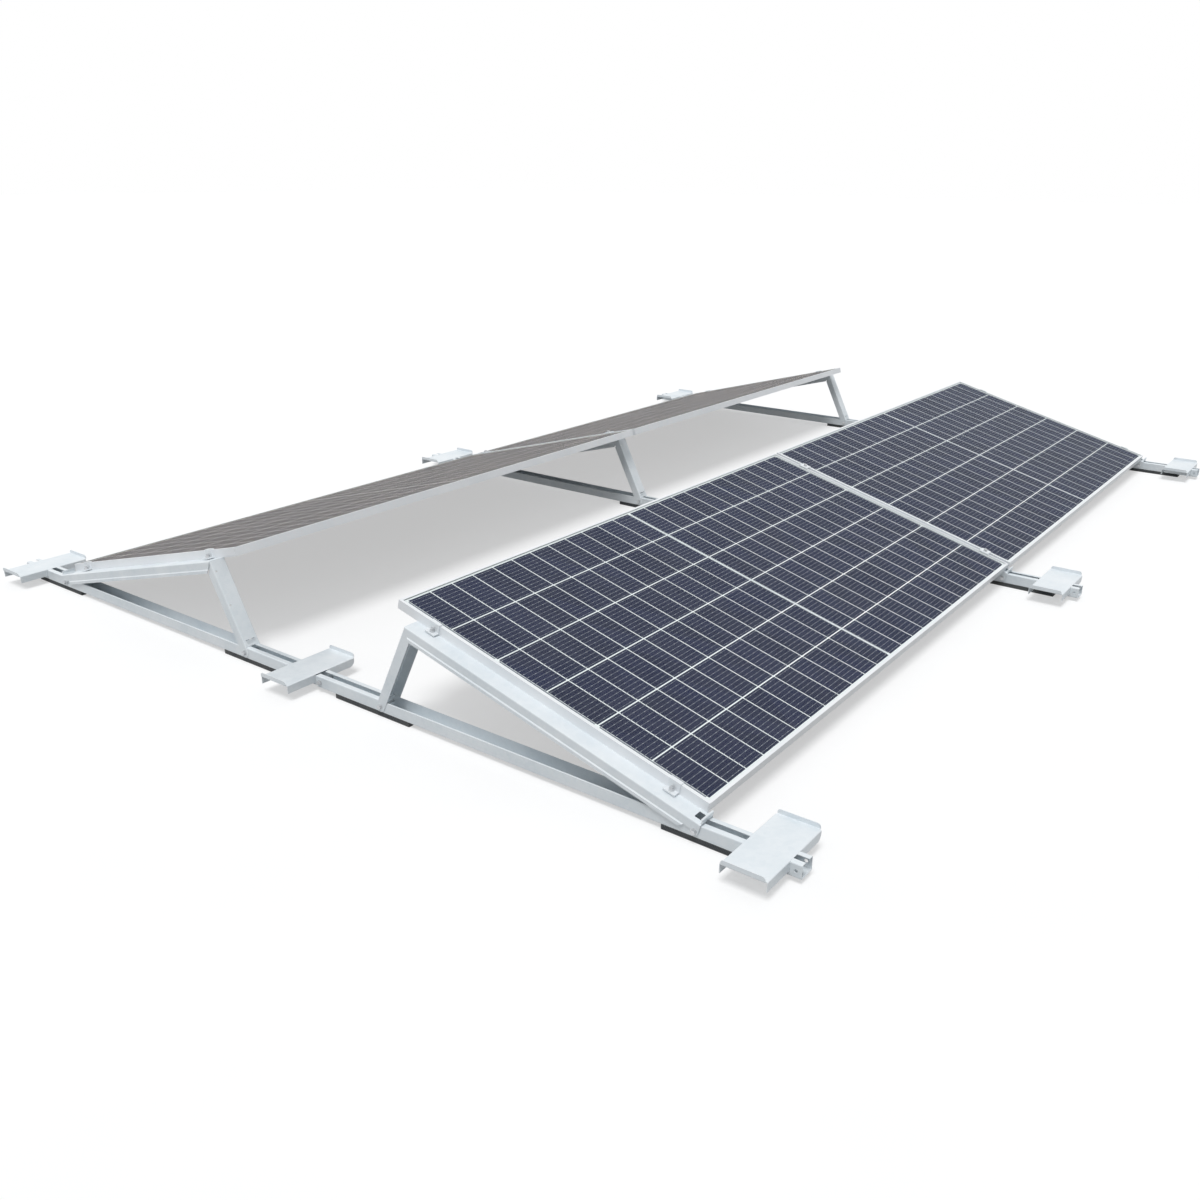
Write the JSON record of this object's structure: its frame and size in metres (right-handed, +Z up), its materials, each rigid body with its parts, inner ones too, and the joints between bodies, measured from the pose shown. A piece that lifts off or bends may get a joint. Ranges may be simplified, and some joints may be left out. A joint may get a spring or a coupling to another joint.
{
  "type": "east-west solar mounting structure",
  "caption": "Flat-roof mounting structure with photovoltaic modules back to back on folded steel tilt rails, legs and ground rails with ballast trays.",
  "frame": {"origin": "middle of the footprint at roof level, under the pads", "axes": "+X east along the base rails, +Y along the ridge to the rear, +Z up"},
  "size_m": [3.5602, 4.902, 0.3861],
  "materials": {
    "galvanised_steel": "satin zinc coating",
    "anodised_aluminium": "satin anodised",
    "clamp_aluminium": "satin, as extruded",
    "stainless_steel": "bright",
    "rubber": "matte, bonded granules",
    "cover_glass": "clear, smooth",
    "silicon": "dark blue, semi-gloss",
    "back_sheet": "white, matte",
    "black_plastic": "black, matte"
  },
  "bodies": {
    "root": {"base_rail_front_east": "galvanised_steel", "tilt_rail_front_east": "galvanised_steel", "leg_front_east": "galvanised_steel", "base_rail_front_west": "galvanised_steel", "tilt_rail_front_west": "galvanised_steel", "leg_front_west": "galvanised_steel", "splice_front": "galvanised_steel", "rubber_pads_front": "rubber", "ballast_tray_front_east": "galvanised_steel", "ballast_tray_front_centre": "galvanised_steel", "ballast_tray_front_west": "galvanised_steel", "base_rail_middle_east": "galvanised_steel", "tilt_rail_middle_east": "galvanised_steel", "leg_middle_east": "galvanised_steel", "base_rail_middle_west": "galvanised_steel", "tilt_rail_middle_west": "galvanised_steel", "leg_middle_west": "galvanised_steel", "splice_middle": "galvanised_steel", "rubber_pads_middle": "rubber", "ballast_tray_middle_east": "galvanised_steel", "ballast_tray_middle_centre": "galvanised_steel", "ballast_tray_middle_west": "galvanised_steel", "base_rail_rear_east": "galvanised_steel", "tilt_rail_rear_east": "galvanised_steel", "leg_rear_east": "galvanised_steel", "base_rail_rear_west": "galvanised_steel", "tilt_rail_rear_west": "galvanised_steel", "leg_rear_west": "galvanised_steel", "splice_rear": "galvanised_steel", "rubber_pads_rear": "rubber", "ballast_tray_rear_east": "galvanised_steel", "ballast_tray_rear_centre": "galvanised_steel", "ballast_tray_rear_west": "galvanised_steel", "module_frame_front_east": "anodised_aluminium", "module_glass_front_east": "cover_glass", "module_cells_front_east": "silicon", "module_back_front_east": "back_sheet", "junction_boxes_front_east": "black_plastic", "module_frame_front_west": "anodised_aluminium", "module_glass_front_west": "cover_glass", "module_cells_front_west": "silicon", "module_back_front_west": "back_sheet", "junction_boxes_front_west": "black_plastic", "module_frame_rear_east": "anodised_aluminium", "module_glass_rear_east": "cover_glass", "module_cells_rear_east": "silicon", "module_back_rear_east": "back_sheet", "junction_boxes_rear_east": "black_plastic", "module_frame_rear_west": "anodised_aluminium", "module_glass_rear_west": "cover_glass", "module_cells_rear_west": "silicon", "module_back_rear_west": "back_sheet", "junction_boxes_rear_west": "black_plastic", "end_clamps": "clamp_aluminium", "middle_clamps": "clamp_aluminium", "clamp_bolts": "stainless_steel", "joint_bolts": "stainless_steel", "pivot_washers": "stainless_steel", "hex_nuts": "stainless_steel"}
  },
  "joints": []
}
